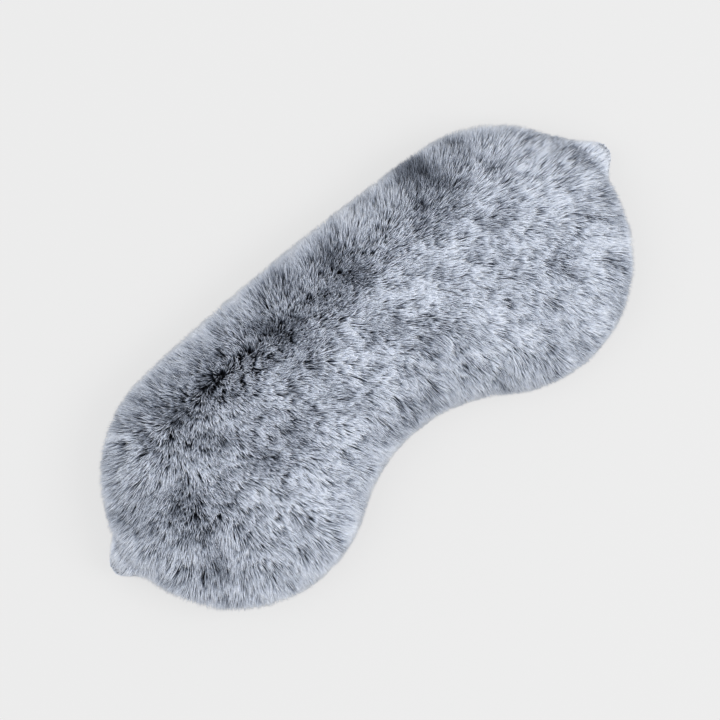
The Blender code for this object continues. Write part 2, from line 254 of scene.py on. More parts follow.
# Comb strokes: x, y in millimetres, then the direction in degrees from +X.
COMB_STROKES = (
    (-96, 36, 150), (-74, 44, 126), (-48, 46, 104), (-20, 46, 90), (10, 46, 78), (34, 46, 74),
    (55, 44, 55), (74, 42, 38), (94, 34, 10), (-116, 3, 190), (-104, 16, 182), (-86, 28, 178),
    (-66, 36, 130), (-44, 39, 112), (-20, 40, 104), (5, 40, 80), (28, 38, 36), (52, 36, 30),
    (76, 32, 18), (-52, 33, 124), (-36, 33, 120), (-21, 34, 106), (-6, 34, 30), (8, 32, -6),
    (-86, 10, 218), (-66, 22, 246), (-50, 27, 280), (-36, 27, -50), (-20, 26, -24), (-4, 25, -16),
    (14, 24, -30), (36, 24, -24), (62, 22, -28), (92, 18, -8), (-66, 4, 278), (-44, 4, -62),
    (-18, 6, -38), (8, 6, -50), (36, 8, -36), (64, 6, -50), (90, 4, -40), (116, 3, 4),
    (-100, -12, 208), (-84, -20, 244), (-60, -22, 285), (-34, -20, -66), (-4, -20, -76),
    (22, -18, -84), (46, -16, -54), (70, -20, -62), (94, -16, -50), (-88, -40, 226),
    (-64, -44, 268), (-40, -38, 286), (-4, -30, -88), (24, -30, -92), (44, -36, -98),
    (66, -42, -66), (92, -36, -46),
)

# Where the pile parts and stands up, so that its dark roots show: x, y and half width in
# millimetres, and how far it stands up.
PARTING = ((-76, 26, 9, 0.58), (-52, 30, 9, 0.74), (-22, 29, 11, 0.68), (10, 30, 12, 0.86),
           (32, 28, 9, 0.42), (76, 30, 9, 0.42))

# Smaller open spots: x, y and radius in millimetres, and how far.
OPEN_SPOTS = (
    (54, 43, 7, 1.90), (-80, 2, 13, 0.50), (-62, 16, 12, 0.35), (-8, 38, 8, 0.70), (-16, 18, 9, 0.50),
    (8, 10, 10, 0.40), (72, 38, 6, 0.50), (-46, 4, 13, 0.30), (34, 4, 8, 0.30), (74, -10, 7, 0.25),
)

# Painted light and shade that even out how the lights fall on the pile, and a dark open spot at
# the top right: x, y, half width and half height in millimetres, and how much sooner its fibres
# turn pale.
PAINTED_LIGHT_AND_DARK_SPOTS = (
    (-24, -33, 34, 9, 0.17), (3, -30, 14, 8, 0.34), (-84, -38, 17, 9, 0.24), (-28, -2, 38, 9, -0.19),
    (67, -17, 12, 16, -0.16), (80, -35, 18, 9, -0.12), (54, 38, 7, 8, -0.32), (24, 38, 9, 8, 0.16),
    (86, 38, 11, 9, 0.44), (-37, 42, 9, 6, 0.20), (-38, -16, 12, 8, 0.16), (107, 11, 5, 8, 0.14),
    (-110, -4, 9, 12, 0.22), (-104, -24, 8, 9, 0.14),
)


# ---------------------------------------- outline and backing

def root(values):
    return np.sqrt(np.maximum(values, 0.0))


def smooth_step(values, low, high):
    share = np.clip((values - low) / (high - low), 0, 1)
    return share * share * (3 - 2 * share)


def between(ends, share):
    """Value at a share of the way from one end to the other."""
    return ends[0] + (ends[1] - ends[0]) * share


def crown_radius():
    rise = TOP_Y - LOBE_Y
    return (LOBE_X**2 + rise**2 - LOBE_RADIUS**2) / (2 * (rise - LOBE_RADIUS))


def notch_radius():
    drop = LOBE_Y - NOTCH_Y
    return (LOBE_X**2 + drop**2 - LOBE_RADIUS**2) / (2 * (LOBE_RADIUS - drop))


def body_end(inset):
    return LOBE_X + LOBE_RADIUS - inset


def body_edges(x, inset):
    """Top and bottom edge of the outline without its ears, moved inwards by inset."""
    side = np.abs(x)
    lobe = root((LOBE_RADIUS - inset)**2 - (side - LOBE_X)**2)
    crown = crown_radius()
    crown_end = (crown - inset) * LOBE_X / (crown - LOBE_RADIUS)
    top = np.where(side < crown_end,
                   TOP_Y - crown + root((crown - inset)**2 - side**2),
                   LOBE_Y + lobe)
    notch = notch_radius()
    notch_end = (notch + inset) * LOBE_X / (notch + LOBE_RADIUS)
    bottom = np.where(side < notch_end,
                      NOTCH_Y - notch + root((notch + inset)**2 - side**2),
                      LOBE_Y - lobe)
    return top, bottom


def ear_half_width(x, inset):
    """Half the width of a right-angled corner with a rounded tip."""
    side = np.abs(x)
    radius = EAR_TIP_RADIUS - inset
    tip_centre = EAR_TIP_X - EAR_TIP_RADIUS
    apex = tip_centre + radius * math.sqrt(2)
    tip = root(radius**2 - (side - tip_centre)**2)
    straight = np.minimum(apex - side, EAR_BASE_HALF_WIDTH - inset)
    return np.where(side > tip_centre + radius / math.sqrt(2), tip, straight)


def soft_max(a, b):
    """Larger of two values, with the corner between them rounded."""
    return np.maximum(a, b) + np.maximum(NECK_BLEND - np.abs(a - b), 0)**2 / (4 * NECK_BLEND)


def eared_edges(x, inset, ear_inset):
    """Top and bottom edge of the outline with its ears."""
    top, bottom = body_edges(x, inset)
    half_width = ear_half_width(x, ear_inset)
    beyond = np.abs(x) > body_end(inset)
    middle = EAR_Y + EAR_SKEW * np.sign(x)
    ear_top = middle + half_width
    ear_bottom = middle - half_width
    top = np.where(beyond, ear_top, soft_max(top, ear_top))
    bottom = np.where(beyond, ear_bottom, -soft_max(-bottom, -ear_bottom))
    return top, bottom


def eased_stations(start, end, count):
    """Positions that crowd together towards both ends."""
    turn = np.linspace(0, math.pi, count + 1)
    return start + (end - start) * (1 - np.cos(turn)) / 2


def edge_distance(x, y, inset):
    """Distance from each point to the outline without ears, zero outside it."""
    end = body_end(inset)
    stations = eased_stations(-end, end, 200)
    top, bottom = body_edges(stations, inset)
    outline = [*zip(stations, top), *zip(stations, bottom)]
    flat_x, flat_y = x.ravel(), y.ravel()
    gaps = np.full(flat_x.shape, np.inf)
    for px, py in outline:
        gaps = np.minimum(gaps, np.hypot(flat_x - px, flat_y - py))
    top, bottom = body_edges(flat_x, inset)
    inside = (np.abs(flat_x) < end) & (flat_y < top) & (flat_y > bottom)
    return np.where(inside, gaps, 0.0).reshape(x.shape)


def ear_swell(x, y):
    """How far an ear swells above its seam, so that it flows into the pillow's side."""
    half_width = np.maximum(ear_half_width(x, EAR_SEAM_INSET), 0.1 * MM)
    off = np.clip(np.abs(y - EAR_Y - EAR_SKEW * np.sign(x)) / half_width, 0, 1)
    tip = EAR_TIP_X - EAR_SEAM_INSET
    taper = smooth_step(tip - np.abs(x), 0, EAR_SWELL_REACH)
    taper = taper * smooth_step(np.abs(x), LOBE_X, EAR_START_X)
    return EAR_SWELL * taper * (1 - off**2)


def backing_height(x, y):
    """Surface of the knit backing: steep at the seam, nearly flat in the middle."""
    share = np.minimum(edge_distance(x, y, SEAM_INSET) / BACKING_REACH, 1)
    dome = (BACKING_CROWN_Z - SEAM_Z) * np.sqrt(1 - (1 - share)**2)
    return SEAM_Z + np.hypot(dome, ear_swell(x, y))


def rim_closeness(x, y):
    """From 0 inside to 1 at the seam, over a shorter reach in the ears."""
    top, bottom = eared_edges(x, SEAM_INSET, EAR_SEAM_INSET)
    body = 1 - np.clip(edge_distance(x, y, SEAM_INSET) / RIM_REACH, 0, 1)
    ear = 1 - np.clip(np.minimum(top - y, y - bottom) / EAR_RIM_REACH, 0, 1)
    return np.where(np.abs(x) > body_end(SEAM_INSET) - 1 * MM, ear, body)


# ---------------------------------------- mesh helpers

def mesh_object(name, points, triangles, smooth=True):
    data = bpy.data.meshes.new(name)
    data.vertices.add(len(points))
    data.vertices.foreach_set("co", np.asarray(points, dtype=np.float32).ravel())
    data.loops.add(len(triangles) * 3)
    data.loops.foreach_set("vertex_index", np.asarray(triangles, dtype=np.int32).ravel())
    data.polygons.add(len(triangles))
    data.polygons.foreach_set("loop_start", np.arange(0, len(triangles) * 3, 3, dtype=np.int32))
    data.update(calc_edges=True)
    data.polygons.foreach_set("use_smooth", np.full(len(triangles), smooth))
    piece = bpy.data.objects.new(name, data)
    bpy.context.collection.objects.link(piece)
    return piece


def grid_triangles(columns, rows, first=0, flip=False):
    width = rows + 1
    i, j = np.meshgrid(np.arange(columns), np.arange(rows), indexing="ij")
    corner = (first + i * width + j).ravel()
    lower = np.stack([corner, corner + width, corner + width + 1], axis=1)
    upper = np.stack([corner, corner + width + 1, corner + 1], axis=1)
    triangles = np.concatenate([lower, upper])
    return triangles[:, ::-1] if flip else triangles


def border(columns, rows):
    """Indices of a grid's outermost points, in order round its edge."""
    width = rows + 1
    low = [i * width for i in range(columns + 1)]
    right = [columns * width + j for j in range(1, rows + 1)]
    high = [i * width + rows for i in range(columns - 1, -1, -1)]
    left = [j for j in range(rows - 1, 0, -1)]
    return np.array(low + right + high + left)


def band_triangles(lower, upper):
    """Wall between two loops of the same length."""
    a, b = lower, np.roll(lower, -1)
    c, d = np.roll(upper, -1), upper
    return np.concatenate([np.stack([a, b, c], axis=1), np.stack([a, c, d], axis=1)])


def grid_between(edges, end, columns, rows):
    """Grid of places from the bottom to the top edge, closer together at the outline."""
    x = eased_stations(-end, end, columns)
    top, bottom = edges(x)
    share = eased_stations(0, 1, rows)
    y = bottom[:, None] + (top - bottom)[:, None] * share[None, :]
    return np.repeat(x[:, None], rows + 1, axis=1), y


def outline_grid(inset, ear_inset, columns, rows):
    return grid_between(lambda x: eared_edges(x, inset, ear_inset), EAR_TIP_X - ear_inset, columns, rows)


def body_grid(inset, columns, rows):
    return grid_between(lambda x: body_edges(x, inset), body_end(inset), columns, rows)


def merge_close(piece, distance=1e-6):
    """Joins the points that coincide at the outline's two ends."""
    work = bmesh.new()
    work.from_mesh(piece.data)
    bmesh.ops.remove_doubles(work, verts=work.verts, dist=distance)
    bmesh.ops.dissolve_degenerate(work, edges=work.edges, dist=distance)
    work.to_mesh(piece.data)
    work.free()


def shell(name, under, over):
    """Closed cloth between two grids of points."""
    columns, rows = under.shape[0] - 1, under.shape[1] - 1
    count = (columns + 1) * (rows + 1)
    edge = border(columns, rows)
    points = np.concatenate([under.reshape(-1, 3), over.reshape(-1, 3)])
    triangles = np.concatenate([
        grid_triangles(columns, rows, flip=True),
        grid_triangles(columns, rows, first=count),
        band_triangles(edge, edge + count)])
    piece = mesh_object(name, points, triangles)
    merge_close(piece)
    return piece


def layer(name, x, y, low, high):
    """Closed cloth between two height fields over one grid."""
    return shell(name, np.stack([x, y, low], axis=2), np.stack([x, y, high], axis=2))


def ring_triangles(stations, sides, first=0, flip=False):
    """Wall through rings of points, station after station."""
    i, j = np.meshgrid(np.arange(stations - 1), np.arange(sides), indexing="ij")
    a = (first + i * sides + j).ravel()
    b = (first + i * sides + (j + 1) % sides).ravel()
    triangles = np.concatenate([np.stack([a, b, b + sides], axis=1),
                                np.stack([a, b + sides, a + sides], axis=1)])
    return triangles[:, ::-1] if flip else triangles


def tube(name, outer, inner):
    """Open-ended tube, whose wall lies between two grids of points."""
    stations, sides = outer.shape[:2]
    count = stations * sides
    start = np.arange(sides)
    end = start + count - sides
    points = np.concatenate([outer.reshape(-1, 3), inner.reshape(-1, 3)])
    triangles = np.concatenate([
        ring_triangles(stations, sides),
        ring_triangles(stations, sides, first=count, flip=True),
        band_triangles(start + count, start),
        band_triangles(end, end + count)])
    return mesh_object(name, points, triangles)


def rod(name, rings):
    """Solid bar through rings of points, with flat ends."""
    stations, sides = rings.shape[:2]
    count = stations * sides
    points = np.concatenate([rings.reshape(-1, 3), rings[[0, -1]].mean(axis=1)])
    start = np.arange(sides)
    end = start + count - sides
    caps = [np.stack([np.full(sides, count), np.roll(start, -1), start], axis=1),
            np.stack([np.full(sides, count + 1), end, np.roll(end, -1)], axis=1)]
    return mesh_object(name, points, np.concatenate([ring_triangles(stations, sides), *caps]))


def add_to_object(piece, made, body="pillow", stands_for=()):
    """Gives a piece its material and the body it rides on, and hides the CAD nodes it stands for."""
    piece.data.materials.clear()
    piece.data.materials.append(made)
    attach(piece, body)
    if stands_for:
        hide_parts(*stands_for)


# ---------------------------------------- materials

def new_material(name, roughness=0.8):
    made = bpy.data.materials.new(name)
    made.use_nodes = True
    shader = made.node_tree.nodes["Principled BSDF"]
    shader.inputs["Roughness"].default_value = roughness
    return made, made.node_tree.nodes, made.node_tree.links, shader


def ramp_node(nodes, stops):
    ramp = nodes.new("ShaderNodeValToRGB")
    elements = ramp.color_ramp.elements
    while len(elements) < len(stops):
        elements.new(0.5)
    for element, (place, colour) in zip(elements, stops):
        element.position = place
        element.color = (*colour, 1)
    return ramp


def math_node(nodes, links, operation, *values):
    """A Math node whose inputs are numbers or other nodes' sockets."""
    made = nodes.new("ShaderNodeMath")
    made.operation = operation
    for socket, value in zip(made.inputs, values):
        if isinstance(value, (int, float)):
            socket.default_value = value
        else:
            links.new(value, socket)
    return made.outputs["Value"]


def colour_by(nodes, links, shader, value, stops):
    """Colours a material by a value, through a ramp."""
    ramp = ramp_node(nodes, stops)
    links.new(value, ramp.inputs["Fac"])
    links.new(ramp.outputs["Color"], shader.inputs["Base Color"])


def raise_by(nodes, links, shader, value, strength, distance=0.0002):
    """Fine relief from a value, through a bump."""
    relief = nodes.new("ShaderNodeBump")
    relief.inputs["Strength"].default_value = strength
    relief.inputs["Distance"].default_value = distance
    links.new(value, relief.inputs["Height"])
    links.new(relief.outputs["Normal"], shader.inputs["Normal"])


def pile_material():
    """Charcoal roots and pale blue-grey tips. Each fibre's UV column shifts where it turns pale."""
    made, nodes, links, shader = new_material("frosted_pile", roughness=0.55)
    shader.inputs["Specular IOR Level"].default_value = 0.30
    uv = nodes.new("ShaderNodeUVMap")
    uv.uv_map = PILE_UV
    parts = nodes.new("ShaderNodeSeparateXYZ")
    links.new(uv.outputs["UV"], parts.inputs["Vector"])
    latest, soonest = PALE_SHIFTS
    shift = math_node(nodes, links, "MULTIPLY_ADD", parts.outputs["X"], soonest - latest, latest)
    place = math_node(nodes, links, "ADD", parts.outputs["Y"], shift)
    colour_by(nodes, links, shader, place, (
        (0.00, (0.010, 0.012, 0.017)),
        (0.30, (0.018, 0.022, 0.030)),
        (0.48, (0.055, 0.065, 0.088)),
        (0.62, (0.255, 0.292, 0.365)),
        (0.78, (0.650, 0.702, 0.805)),
        (1.00, (0.855, 0.895, 0.970)),
    ))
    return made


def cloth_material(name, dark, pale, scale, roughness, bump=0.3, sheen=0.0):
    """Woven or knitted cloth: crossed threads with uneven shade, raised by a bump."""
    made, nodes, links, shader = new_material(name, roughness)
    shader.inputs["Sheen Weight"].default_value = sheen
    place = nodes.new("ShaderNodeTexCoord").outputs["Object"]
    waves = []
    for direction in ("X", "Y"):
        wave = nodes.new("ShaderNodeTexWave")
        wave.bands_direction = direction
        wave.inputs["Scale"].default_value = scale
        wave.inputs["Distortion"].default_value = 0.4
        links.new(place, wave.inputs["Vector"])
        waves.append(wave.outputs["Fac"])
    weave = math_node(nodes, links, "MULTIPLY", *waves)
    uneven = nodes.new("ShaderNodeTexNoise")
    uneven.inputs["Scale"].default_value = 90
    uneven.inputs["Detail"].default_value = 4
    links.new(place, uneven.inputs["Vector"])
    patchy = math_node(nodes, links, "MULTIPLY", uneven.outputs["Fac"], 0.6)
    blend = math_node(nodes, links, "MULTIPLY_ADD", weave, 0.5, patchy)
    colour_by(nodes, links, shader, blend, ((0.15, dark), (0.85, pale)))
    raise_by(nodes, links, shader, weave, bump)
    return made


def speckled_material(name, dark, pale, scale, roughness, bump):
    """Uneven shade and a fine grain, as on beads or loose fibres."""
    made, nodes, links, shader = new_material(name, roughness)
    place = nodes.new("ShaderNodeTexCoord").outputs["Object"]
    grain = nodes.new("ShaderNodeTexNoise")
    grain.inputs["Scale"].default_value = scale
    grain.inputs["Detail"].default_value = 5
    links.new(place, grain.inputs["Vector"])
    colour_by(nodes, links, shader, grain.outputs["Fac"], ((0.30, dark), (0.70, pale)))
    raise_by(nodes, links, shader, grain.outputs["Fac"], bump)
    return made


def thread_material():
    """Sewing thread: its twisted plies slant across it."""
    made, nodes, links, shader = new_material("twisted_thread", roughness=0.6)
    shader.inputs["Sheen Weight"].default_value = 0.2
    place = nodes.new("ShaderNodeTexCoord").outputs["Object"]
    plies = nodes.new("ShaderNodeTexWave")
    plies.bands_direction = "DIAGONAL"
    plies.inputs["Scale"].default_value = 520
    plies.inputs["Distortion"].default_value = 0.6
    links.new(place, plies.inputs["Vector"])
    colour_by(nodes, links, shader, plies.outputs["Fac"],
              ((0.10, (0.200, 0.225, 0.275)), (0.80, (0.420, 0.460, 0.540))))
    raise_by(nodes, links, shader, plies.outputs["Fac"], strength=0.6, distance=0.0001)
    return made


# ---------------------------------------- pile

def patch_noise(x, y, cell, rng):
    """Smooth random field from -1 to 1 whose patches are about one cell wide."""
    reach = 0.16
    count = int(2 * reach / cell) + 3
    values = rng.uniform(-1, 1, (count, count))
    gx, gy = (x + reach) / cell, (y + reach) / cell
    i, j = np.floor(gx).astype(int), np.floor(gy).astype(int)
    u, v = gx - i, gy - j
    u, v = u * u * (3 - 2 * u), v * v * (3 - 2 * v)
    low = values[i, j] * (1 - u) + values[i + 1, j] * u
    high = values[i, j + 1] * (1 - u) + values[i + 1, j + 1] * u
    return low * (1 - v) + high * v


def summed_noise(x, y, fields, rng):
    """Sum of random fields, each given by its strength and its patches' width in millimetres."""
    return sum(strength * patch_noise(x, y, cell * MM, rng) for strength, cell in fields)


def comb_direction(x, y):
    """Direction of the pile at each point, spread from the comb strokes."""
    stroke_size = 5 * MM
    total = np.zeros((2, x.size))
    for sx, sy, angle in COMB_STROKES:
        gap = (x - sx * MM)**2 + (y - sy * MM)**2
        weight = 1 / (gap + stroke_size**2)**2
        turn = math.radians(angle)
        total += weight * np.array([[math.cos(turn)], [math.sin(turn)]])
    return np.arctan2(total[1], total[0])


def parting(x, y):
    """How far the pile stands open at each point, from 0 to 1."""
    opened = np.zeros(x.shape)
    for (ax, ay, near_width, near), (bx, by, far_width, far) in zip(PARTING, PARTING[1:]):
        start = np.array([ax, ay]) * MM
        run = np.array([bx, by]) * MM - start
        share = np.clip(((x - start[0]) * run[0] + (y - start[1]) * run[1]) / (run @ run), 0, 1)
        gap = np.hypot(x - start[0] - share * run[0], y - start[1] - share * run[1])
        half_width = (near_width + (far_width - near_width) * share) * MM
        strength = near + (far - near) * share
        opened = np.maximum(opened, strength * np.exp(-(gap / half_width)**2))
    for sx, sy, radius, strength in OPEN_SPOTS:
        gap = np.hypot(x - sx * MM, y - sy * MM) / (radius * MM)
        opened = np.maximum(opened, strength * np.exp(-gap**2))
    return opened


def scatter_roots(piece, count, rng):
    """Random points over the upper side of the backing, with their surface normals."""
    data = piece.data
    points = np.empty(len(data.vertices) * 3)
    data.vertices.foreach_get("co", points)
    points = points.reshape(-1, 3)
    normals = np.empty(len(data.vertices) * 3)
    data.vertices.foreach_get("normal", normals)
    normals = normals.reshape(-1, 3)
    data.calc_loop_triangles()
    corners = np.empty(len(data.loop_triangles) * 3, dtype=np.int32)
    data.loop_triangles.foreach_get("vertices", corners)
    corners = corners.reshape(-1, 3)
    a, b, c = (points[corners[:, k]] for k in range(3))
    face = np.cross(b - a, c - a)
    area = np.linalg.norm(face, axis=1)
    least_upward = 0.02
    area[face[:, 2] < least_upward * area] = 0
    middle = (a + b + c) / 3
    area *= 1 + PARTING_DENSITY * parting(middle[:, 0], middle[:, 1])
    area *= 1 + EAR_DENSITY * smooth_step(np.abs(middle[:, 0]), EAR_START_X, EAR_START_X + EAR_REACH)
    chosen = rng.choice(len(area), size=count, p=area / area.sum())
    u, v = rng.random(count), rng.random(count)
    over = u + v > 1
    u[over], v[over] = 1 - u[over], 1 - v[over]
    shares = np.stack([1 - u - v, u, v], axis=1)
    spots = sum(points[corners[chosen, k]] * shares[:, k:k + 1] for k in range(3))
    facing = sum(normals[corners[chosen, k]] * shares[:, k:k + 1] for k in range(3))
    return spots, facing / np.linalg.norm(facing, axis=1, keepdims=True)


def unit(vectors):
    return vectors / np.maximum(np.linalg.norm(vectors, axis=1, keepdims=True), 1e-9)


def pile_lay(x, y, rng):
    """How flat the pile lies, from 0 upright to 1 flat: flatter to the right and at the edge."""
    opened = parting(x, y)
    edge = 1 - np.clip(edge_distance(x, y, 0) / RIM_LAY_REACH, 0, 1)
    base = between((between(LAY, smooth_step(x, *LAY_X)), RIM_LAY), edge)
    lift = np.abs(summed_noise(x, y, LAY_FIELDS, rng))
    return np.clip(base * (1 - opened) - lift + rng.normal(0, LAY_SPREAD, x.size), *LAY_RANGE)


def fibre_lengths(x, y, rng):
    """Shorter in the ears, longer at the edge."""
    rim = rim_closeness(x, y)
    off = np.abs(y - EAR_Y - EAR_SKEW * np.sign(x))
    ear = smooth_step(np.abs(x), EAR_START_X, EAR_START_X + EAR_REACH)
    ear = ear * (1 - smooth_step(off, *EAR_SHORT_HALF_WIDTHS))
    length = between((FIBRE_LENGTH, EAR_FIBRE_LENGTH), ear) * (1 + RIM_LENGTHENING * rim)
    return length * rng.uniform(between(SHORTEST_SHARES, rim), LONGEST_SHARE)


def fibre_lines(roots, normals, rng):
    """Middle lines of the fibres, four points each, their bending planes, and how flat they lie."""
    count = len(roots)
    x, y = roots[:, 0], roots[:, 1]
    lay = pile_lay(x, y, rng)
    swirl = summed_noise(x, y, TURN_FIELDS, rng)
    jitter = TURN_SPREAD + PARTING_TURN_SPREAD * parting(x, y)
    turn = comb_direction(x, y) + swirl + jitter * rng.normal(0, 1, count)
    comb = np.stack([np.cos(turn), np.sin(turn), np.full(count, -DOWNHILL)], axis=1)
    comb = unit(comb - normals * (comb * normals).sum(axis=1, keepdims=True))
    length = fibre_lengths(x, y, rng)
    rim = rim_closeness(x, y)
    bends = np.radians(between(ROOT_BEND, lay)), np.radians(between(TIP_BEND, lay))
    inner = INNER_UPRIGHT * smooth_step(edge_distance(x, y, 0), *INNER_REACH)[:, None]
    upright = unit(normals * (1 - inner) + np.array([[0, 0, 1]]) * inner)
    lines = [roots - normals * ROOT_DEPTH]
    for k, step in enumerate(FIBRE_STEPS):
        bend = between(bends, (k + 0.5) / len(FIBRE_STEPS))
        heading = upright * np.cos(bend)[:, None] + comb * np.sin(bend)[:, None]
        heading[:, 2] -= (DROOP + RIM_DROOP * rim**2) * k
        lines.append(lines[-1] + unit(heading) * (length * step)[:, None])
    lines = np.stack(lines, axis=1)
    lines[..., 2] = np.maximum(lines[..., 2], REST_Z)
    return lines, unit(np.cross(comb, normals)), lay


def gather(lines, groups, pull, rng):
    """Draws the tips of neighbouring fibres together."""
    centres = rng.choice(len(lines), size=groups, replace=False)
    tree = KDTree(len(centres))
    for k, centre in enumerate(centres):
        tree.insert(lines[centre, 0], k)
    tree.balance()
    nearest = np.array([tree.find(spot)[1] for spot in lines[:, 0]])
    own = lines[centres][nearest]
    gap = own[:, 0] - lines[:, 0]
    for k, share in enumerate(GATHER_SHARES, start=1):
        offset = (own[:, k] - own[:, 0]) - (lines[:, k] - lines[:, 0])
        lines[:, k] += (offset * GATHER_ALIGN + gap) * (pull * share)[:, None]
    return lines


def inside_outline(x, y):
    top, bottom = eared_edges(x, 0, 0)
    return (np.abs(x) < EAR_TIP_X) & (y < top) & (y > bottom)


def room_share(roots, reach):
    """How much of its reach each fibre has before it meets the outline, found by halving."""
    low = np.zeros(len(roots))
    high = np.ones(len(roots))
    for _ in range(9):
        middle = (low + high) / 2
        tips = roots + reach * middle[:, None]
        inside = inside_outline(tips[:, 0], tips[:, 1])
        low = np.where(inside, middle, low)
        high = np.where(inside, high, middle)
    return low


def shear(lines, rng):
    """Holds the fibres inside the outline: those that reach past it hang down there instead."""
    roots = lines[:, 0]
    reach = lines[:, 3] - roots
    over = ~inside_outline(lines[:, 3, 0], lines[:, 3, 1])
    room = room_share(roots, reach)
    share = np.where(over, room * rng.uniform(*HELD_SPREAD, len(lines)), 1)
    held = roots[:, None] + (lines - roots[:, None]) * share[:, None, None]
    lost = np.linalg.norm(reach[:, :2], axis=1) * np.sqrt(np.maximum(1 - share**2, 0))
    ear = smooth_step(np.abs(roots[:, 0]), EAR_HANG_X, EAR_HANG_X + EAR_HANG_REACH)
    hang = between((RIM_HANG, EAR_HANG), ear) * rng.uniform(*HANG_SPREAD, len(lines))
    held[..., 2] -= (hang * lost)[:, None] * np.array(HANG_SHARES)
    held[..., 2] = np.maximum(held[..., 2], REST_Z)
    # In the ears a fibre runs out to the edge first, so that it falls over the seam thread.
    early = np.array(EAR_RUN_SHARES)[:, None]
    edge = between((roots[:, None, :2], held[:, 3:, :2]), early)
    held[..., :2] += (edge - held[..., :2]) * (ear * over)[:, None, None]
    return held


def fibre_mesh(name, lines, sides, shades):
    """One mesh of closed, three-sided, tapering fibres."""
    count = len(lines)
    headings = [unit(lines[:, min(k + 1, 3)] - lines[:, max(k - 1, 0)]) for k in range(3)]
    rings = []
    for k in range(3):
        up = unit(np.cross(headings[k], sides))
        for corner in range(3):
            turn = math.radians(90 + 120 * corner)
            rings.append(lines[:, k] + FIBRE_RADIUS * FIBRE_WIDTHS[k]
                         * (sides * math.cos(turn) + up * math.sin(turn)))
    rings.append(lines[:, 3])
    points = np.stack(rings, axis=1)
    pattern = [(0, 2, 1)]
    for k in (0, 3):
        for a, b in ((0, 1), (1, 2), (2, 0)):
            pattern += [(k + a, k + b, k + 3 + b), (k + a, k + 3 + b, k + 3 + a)]
    pattern += [(6, 7, 9), (7, 8, 9), (8, 6, 9)]
    pattern = np.array(pattern)
    triangles = (np.arange(count)[:, None, None] * 10 + pattern[None]).reshape(-1, 3)
    points[..., 2] = np.maximum(points[..., 2], LOWEST_Z)
    piece = mesh_object(name, points.reshape(-1, 3), triangles)
    along = np.repeat(FIBRE_UV_ROWS, (3, 3, 3, 1))
    across = np.array([-1, 0, 1] * 3 + [0]) * FIBRE_UV_HALF_WIDTH
    u = between((UV_MARGIN, 1 - UV_MARGIN), np.clip(shades[:, None] + across[None, :], 0, 1))
    layer_uv = np.stack([u, np.repeat(along[None, :], count, axis=0)], axis=2).reshape(-1, 2)
    sheet = piece.data.uv_layers.new(name=PILE_UV)
    sheet.data.foreach_set("uv", layer_uv[triangles.ravel()].astype(np.float32).ravel())
    return piece


def fibre_shades(roots, lay, rng):
    """How soon each fibre turns pale: later where open, sooner where flat, with painted light and shade."""
    x, y = roots[:, 0], roots[:, 1]
    shades = SHADE + LAY_SHADE * lay + PARTING_SHADE * parting(x, y)
    # Painted light along the top edge.
    shades += PAINTED_TOP_LIGHT * smooth_step(y, *PAINTED_TOP_LIGHT_Y)
    shades += summed_noise(x, y, SHADE_FIELDS, rng)
    shades += rim_closeness(x, y) * (RIM_SHADE + summed_noise(x, y, RIM_SHADE_FIELDS, rng))
    # Painted light and shade, and the dark open spot, from the spots listed above.
    for sx, sy, half_width, half_height, change in PAINTED_LIGHT_AND_DARK_SPOTS:
        gap = np.hypot((x - sx * MM) / (half_width * MM), (y - sy * MM) / (half_height * MM))
        shades += change * np.exp(-gap**2)
    return np.clip(shades + rng.normal(0, SHADE_SPREAD, len(roots)), 0, 1)


def add_pile(backing):
    """Grows the pile and splits it into pieces along the pillow."""
    rng = np.random.default_rng(SEED)
    roots, normals = scatter_roots(backing, FIBRE_COUNT, rng)
    lines, sides, lay = fibre_lines(roots, normals, rng)
    lines = gather(lines, STRANDS, between(STRAND_PULL, lay), rng)
    lines = gather(lines, TUFTS, between(TUFT_PULL, lay), rng)
    lines = shear(lines, rng)
    shades = fibre_shades(roots, lay, rng)
    order = np.argsort(roots[:, 0])
    made = pile_material()
    for number, members in enumerate(np.array_split(order, PILE_PIECES), start=1):
        piece = fibre_mesh(f"fur_pile_{number:02d}", lines[members], sides[members], shades[members])
        add_to_object(piece, made)


def add_backing():
    """Dark knit backing of the fur, from the seam up over the filling."""
    x, y = outline_grid(SEAM_INSET, EAR_SEAM_INSET, 150, 60)
    high = backing_height(x, y)
    piece = layer("fur_backing", x, y, high - BACKING_THICKNESS, high)
    made = cloth_material("knit_backing", (0.012, 0.014, 0.018), (0.035, 0.040, 0.050), 900, 0.95)
    add_to_object(piece, made, stands_for=["fur_front_panel"])
    return piece


# ---------------------------------------- cloths and filling

def seam_run(x, y):
    """How far along the seam, from its middle, the seam point nearest to each place is."""
    side = np.abs(x)
    turn = np.arctan2(np.maximum(side - LOBE_X, 0), np.abs(y - LOBE_Y) + 1e-9)
    return np.sign(x) * (np.minimum(side, LOBE_X) + LOBE_RADIUS * turn)


def puckers(x, y, inset, reach, rng):
    """Ripples from -1 to 1 that run in from a seam and fade out over their reach."""
    fade = np.exp(-edge_distance(x, y, inset) / reach)
    wander = summed_noise(x, y, PUCKER_FIELDS, rng)
    return fade * np.sin(2 * math.pi * seam_run(x, y) / PUCKER_PITCH + wander)


def add_back_cloth():
    """Brushed back of the pillow, drawn into small puckers by its seam."""
    rng = np.random.default_rng(SEED + 1)
    x, y = outline_grid(BACK_INSET, EAR_SEAM_INSET, 320, 120)
    middle = BACK_Z + BACK_PUCKER * puckers(x, y, BACK_INSET, BACK_PUCKER_REACH, rng)
    middle += BACK_SAG * patch_noise(x, y, 26 * MM, rng)
    piece = layer("back_cloth", x, y, middle - BACK_THICKNESS / 2, middle + BACK_THICKNESS / 2)
    made = cloth_material("brushed_slate", (0.085, 0.096, 0.120), (0.270, 0.295, 0.345), 620, 0.85,
                          bump=0.5, sheen=0.6)
    add_to_object(piece, made, stands_for=["back_panel"])


